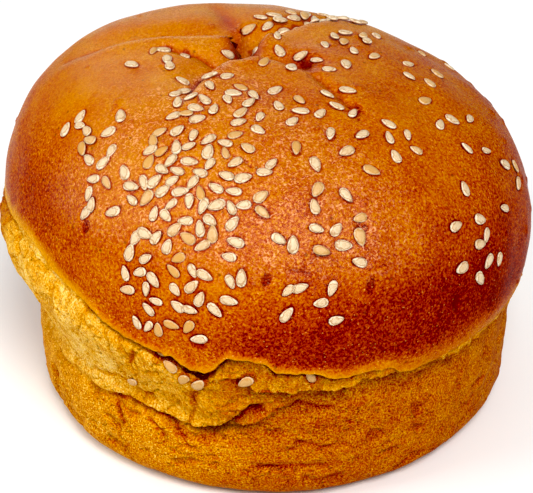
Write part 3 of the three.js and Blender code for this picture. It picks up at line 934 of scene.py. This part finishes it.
crown_part = skinned("bun_crown", crown_grid + shift,
                     (np.array([SOLE_MIDDLE_X, SOLE_MIDDLE_Y, 36.0]),
                      crown_grid[-1].mean(axis=0) + shift),
                     {"bake_and_painted_light": bake_and_painted_light, "crease": crease * on_crown, "egg_wash": egg_wash,
                      "seed_gap": np.where(on_crown > 0, seed_gap, NO_SEED_NEAR)})

# Egg-washed crust: a thin leathery skin with a soft gloss. Wrinkles and grains of about half a
# millimetre break up its highlights, with pale pinpricks and dark specks among them.
crust, tree, shader = start_material("egg_washed_bread_crust", {
    "IOR": 1.45, "Specular IOR Level": 0.3, "Specular Tint": linear("#FFDCB4"),
    "Subsurface Weight": 0.05, "Subsurface Radius": (1.0, 0.4, 0.1),
    "Subsurface Scale": 1.0 * MM})
place = add(tree, "ShaderNodeTexCoord").outputs["Object"]
bake_and_painted_light_layer, crease_layer, gap_layer, wash_layer = (
    add(tree, "ShaderNodeAttribute", attribute_name=name).outputs["Fac"]
    for name in ("bake_and_painted_light", "crease", "seed_gap", "egg_wash"))
grain, leather, mottle = (
    add(tree, "ShaderNodeTexNoise", {
        "Vector": place, "Scale": 1 / (size * MM), "Detail": detail, "Roughness": fineness,
        "Distortion": twist})
    for size, detail, fineness, twist in (
        (0.42, 2.0, 0.55, 0.6), (0.75, 3.0, 0.6, 1.6), (6.0, 4.0, 0.6, 0.0)))
pricks = add(tree, "ShaderNodeTexVoronoi", {"Vector": place, "Scale": 1 / (1.0 * MM)})
specks = add(tree, "ShaderNodeTexVoronoi", {"Vector": place, "Scale": 1 / (3.4 * MM)})

# The bake, with its grain and mottle, painted shade in the creases and a painted contact shadow
# round each seed, picks the colour
grain_shift = add(tree, "ShaderNodeMath", {0: grain, 1: 0.5}, operation="SUBTRACT")
grain_force = add(tree, "ShaderNodeMapRange", {
    "Value": bake_and_painted_light_layer, "From Min": 0.5, "From Max": 0.66, "To Min": -0.45, "To Max": -1.25})
grained = add(tree, "ShaderNodeMath", {0: grain_shift, 1: grain_force, 2: bake_and_painted_light_layer},
              operation="MULTIPLY_ADD")
mottle_shift = add(tree, "ShaderNodeMath", {0: mottle, 1: 0.5}, operation="SUBTRACT")
mottled = add(tree, "ShaderNodeMath", {0: mottle_shift, 1: 0.3, 2: grained},
              operation="MULTIPLY_ADD")
# Darker down in the folds' creases and the pit: painted shade
crease_shaded = add(tree, "ShaderNodeMath", {0: crease_layer, 1: 0.52, 2: mottled},
              operation="MULTIPLY_ADD")
# A thin darker ring round each seed: a painted contact shadow
ring = add(tree, "ShaderNodeMapRange", {
    "Value": gap_layer, "From Min": 0.26, "From Max": 0.0, "To Min": 0.0, "To Max": 0.26},
    interpolation_type="SMOOTHSTEP")
bake_with_painted_light = add(tree, "ShaderNodeMath", {0: crease_shaded, 1: ring}, operation="ADD")
colour = add(tree, "ShaderNodeValToRGB", {"Fac": bake_with_painted_light}, stops=OVEN_TONES)

# Pale pinpricks, dark specks, the leather's brown hollows, and painted glints on its ridges
prick, speck, hollow, painted_glint = (
    add(tree, "ShaderNodeMapRange", {
        "Value": pattern, "From Min": start, "From Max": full, "To Max": most})
    for pattern, start, full, most in (
        (pricks, 0.16, 0.08, 0.45), (specks, 0.11, 0.06, 0.55), (leather, 0.46, 0.32, 0.34),
        (leather, 0.54, 0.68, 1.2)))
# Pale flecks on the ridges where the egg wash lies thick: painted highlights, glints of the lights
painted_glint_share = add(tree, "ShaderNodeMath", {0: painted_glint, 1: wash_layer}, operation="MULTIPLY")
for mark, code in ((prick, "#F0B060"), (speck, "#5A1E04"), (hollow, "#8C2E00"),
                   (painted_glint_share, "#F2BE92")):
    colour = add(tree, "ShaderNodeMix", {0: mark, 6: colour, 7: linear(code)},
                 data_type="RGBA")
rough = add(tree, "ShaderNodeMapRange", {
    "Value": leather, "From Min": 0.3, "From Max": 0.7, "To Min": 0.17, "To Max": 0.34})
wrinkled = add(tree, "ShaderNodeMath", {0: leather, 1: 1.5, 2: grain}, operation="MULTIPLY_ADD")
bump = add(tree, "ShaderNodeBump", {"Height": wrinkled, "Strength": 1.0, "Distance": 0.09 * MM})
plug(tree, shader, {"Base Color": colour, "Roughness": rough, "Specular IOR Level": wash_layer,
                    "Normal": bump})
crown_part.data.materials.append(crust)
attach(crown_part, "root")
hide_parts("bun")

# Sesame seeds: hulled, dry and flat, shaped like a drop, thrown on the egg wash before baking.
# They lie half sunk in the crust. Most stayed cream, and some toasted or took the glaze.
depsgraph = bpy.context.evaluated_depsgraph_get()
crown_tree = bvhtree.BVHTree.FromObject(crown_part, depsgraph)
side_tree = bvhtree.BVHTree.FromObject(side, depsgraph)
seed_draw = make_draw(SEED_DRAW + 1)
places, turns, girths, toasts = [], [], [], []
for point, length, width, normal, size, lift, on_top in seats:
    start = Vector((point + shift + normal * PROBE_REACH) * MM)
    bread_tree = crown_tree if on_top else side_tree
    found = bread_tree.ray_cast(start, -Vector(normal))[0] or Vector((point + shift) * MM)
    raised = (SEED_RISES[0] + SEED_RISES[1] * next(seed_draw) + lift) * MM
    places.append(found + Vector(normal) * raised)
    lean = Matrix.Rotation(SEED_LEAN * (next(seed_draw) - 0.5), 3, "X")
    turns.append((Matrix((length, width, normal)).transposed() @ lean).to_euler())
    breadth = SEED_BREADTHS[0] + SEED_BREADTHS[1] * next(seed_draw)
    girths.append((size, size * breadth, size))
    toasts.append(max(next(seed_draw), 0 if on_top else CAUGHT_TOAST))

# The crumb's colour darkens in a thin ring round each seed caught below the lip: a painted contact
# shadow
crumb_points = np.empty(3 * len(side.data.vertices), np.float32)
side.data.vertices.foreach_get("co", crumb_points)
crumb_points = crumb_points.reshape(-1, 3) / MM - shift
bake_and_painted_light_data = side.data.attributes["bake_and_painted_light"].data
bake_and_seed_shadow = np.empty(len(bake_and_painted_light_data), np.float32)
bake_and_painted_light_data.foreach_get("value", bake_and_seed_shadow)
for place, (_, length, width, normal, size, _, on_top) in zip(places, seats):
    if not on_top:
        local = crumb_points - (np.array(place) / MM - shift)
        ring = seed_ring(local, length, width, size)
        bake_and_seed_shadow += 0.35 * (np.abs(local @ normal) < 2) * smooth((1.45 - ring) / 0.35)
bake_and_painted_light_data.foreach_set("value", bake_and_seed_shadow)

seed_points = bpy.data.meshes.new("sesame_seeds")
seed_points.from_pydata(places, [], [])
for name, kind, field, values in (("turn", "FLOAT_VECTOR", "vector", turns),
                                  ("girth", "FLOAT_VECTOR", "vector", girths),
                                  ("toast", "FLOAT", "value", toasts)):
    layer = seed_points.attributes.new(name, kind, "POINT")
    layer.data.foreach_set(field, np.array(values, np.float32).ravel())
seeds = bpy.data.objects.new("sesame_seeds", seed_points)
scene.collection.objects.link(seeds)

# Hulled sesame: waxy cream, palest on the raised rim, tan in the flat middle and darker where it
# toasted, with a low sheen from its oil
sesame, tree, shader = start_material("hulled_sesame", {
    "Roughness": 0.42, "IOR": 1.47, "Subsurface Weight": 0.12,
    "Subsurface Radius": (1.0, 0.7, 0.4), "Subsurface Scale": 0.4 * MM})
place = add(tree, "ShaderNodeTexCoord").outputs["Object"]
rim_layer, toast_layer = (add(tree, "ShaderNodeAttribute", attribute_name=name).outputs["Fac"]
                          for name in ("rim", "toast"))
fleck = add(tree, "ShaderNodeTexNoise", {
    "Vector": place, "Scale": 1 / (0.7 * MM), "Detail": 2.0})
flecked = add(tree, "ShaderNodeMapRange", {
    "Value": fleck, "From Min": 0.3, "From Max": 0.7, "To Min": -0.3, "To Max": 0.3})
rim_shift = add(tree, "ShaderNodeMath", {0: rim_layer, 1: flecked}, operation="ADD")
face_tone = add(tree, "ShaderNodeValToRGB", {"Fac": rim_shift}, stops=(
    (0.0, "#CAB28E"), (0.3, "#D4C0A0"), (0.62, "#AC885E"), (0.82, "#DCCCAE"),
    (1.0, "#E2D4BC")))
toasted = add(tree, "ShaderNodeMapRange", {
    "Value": toast_layer, "From Min": 0.72, "From Max": 1.0, "To Max": 0.9})
pale_rim = add(tree, "ShaderNodeMapRange", {
    "Value": rim_layer, "From Min": 0.7, "From Max": 0.92, "To Min": 1.0, "To Max": 0.45})
toast_share = add(tree, "ShaderNodeMath", {0: toasted, 1: pale_rim}, operation="MULTIPLY")
seed_tone = add(tree, "ShaderNodeMix", {
    0: toast_share, 6: face_tone, 7: linear("#C08E34")}, data_type="RGBA")
grit = add(tree, "ShaderNodeTexNoise", {
    "Vector": place, "Scale": 1 / (0.3 * MM), "Detail": 2.0})
bump = add(tree, "ShaderNodeBump", {"Height": grit, "Strength": 1.0, "Distance": 0.05 * MM})
plug(tree, shader, {"Base Color": seed_tone, "Normal": bump})

# One seed is a flattened ball drawn out to a point, and a copy is laid at every spot
SEED_SHAPE = {"Length": SEED_LENGTH * MM, "Width": SEED_WIDTH * MM,
              "Thickness": SEED_THICKNESS * MM, "Taper": 0.32, "Hollow": 0.3}
sower = bpy.data.node_groups.new("sow_seeds", "GeometryNodeTree")
sower.interface.new_socket("Spots", in_out="INPUT", socket_type="NodeSocketGeometry")
for name in SEED_SHAPE:
    sower.interface.new_socket(name, in_out="INPUT", socket_type="NodeSocketFloat")
sower.interface.new_socket("Seeds", in_out="OUTPUT", socket_type="NodeSocketGeometry")
given = add(sower, "NodeGroupInput").outputs
ball = add(sower, "GeometryNodeMeshUVSphere", {"Segments": 12, "Rings": 6, "Radius": 1.0})
where = add(sower, "ShaderNodeSeparateXYZ", {
    0: add(sower, "GeometryNodeInputPosition")}).outputs
reach = add(sower, "ShaderNodeMath", {0: where["Z"], 1: where["Z"]}, operation="MULTIPLY")
rim_value = add(sower, "ShaderNodeMath", {0: 1.0, 1: reach}, operation="SUBTRACT")
marked = add(sower, "GeometryNodeStoreNamedAttribute", {
    "Geometry": ball, "Name": "rim", "Value": rim_value}, data_type="FLOAT", domain="POINT")
narrow = add(sower, "ShaderNodeMath", {0: where["X"], 1: given["Taper"]}, operation="MULTIPLY")
narrowed = add(sower, "ShaderNodeMath", {0: 1.0, 1: narrow}, operation="SUBTRACT")
side_way = add(sower, "ShaderNodeMath", {0: where["Y"], 1: narrowed}, operation="MULTIPLY")
hollow = add(sower, "ShaderNodeMath", {0: reach, 1: given["Hollow"]}, operation="MULTIPLY")
plump = add(sower, "ShaderNodeMath", {0: 1.0, 1: hollow}, operation="SUBTRACT")
tall = add(sower, "ShaderNodeMath", {0: where["Z"], 1: plump}, operation="MULTIPLY")
shaped = add(sower, "ShaderNodeCombineXYZ", {0: where["X"], 1: side_way, 2: tall})
sizes = add(sower, "ShaderNodeCombineXYZ", {
    0: given["Length"], 1: given["Width"], 2: given["Thickness"]})
halved = add(sower, "ShaderNodeVectorMath", {0: sizes, 3: 0.5}, operation="SCALE")
drawn = add(sower, "ShaderNodeVectorMath", {0: shaped, 1: halved}, operation="MULTIPLY")
drop = add(sower, "GeometryNodeSetPosition", {"Geometry": marked, "Position": drawn})
turn_field, girth_field = (
    add(sower, "GeometryNodeInputNamedAttribute", {"Name": name}, data_type="FLOAT_VECTOR")
    for name in ("turn", "girth"))
turned = add(sower, "FunctionNodeEulerToRotation", {0: turn_field})
dots = add(sower, "GeometryNodeMeshToPoints", {"Mesh": given["Spots"]})
sown = add(sower, "GeometryNodeInstanceOnPoints", {
    "Points": dots, "Instance": drop, "Rotation": turned, "Scale": girth_field})
real = add(sower, "GeometryNodeRealizeInstances", {"Geometry": sown})
smoothed = add(sower, "GeometryNodeSetShadeSmooth", {0: real})
painted = add(sower, "GeometryNodeSetMaterial", {"Geometry": smoothed, "Material": sesame})
add(sower, "NodeGroupOutput", {"Seeds": painted})

sowing = seeds.modifiers.new("sowing", "NODES")
sowing.node_group = sower
for socket in sower.interface.items_tree:
    if socket.name in SEED_SHAPE:
        sowing[socket.identifier] = SEED_SHAPE[socket.name]
grown = bpy.data.meshes.new_from_object(
    seeds.evaluated_get(bpy.context.evaluated_depsgraph_get()))
seeds.modifiers.remove(sowing)
seeds.data = grown
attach(seeds, "root")
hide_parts("bun")
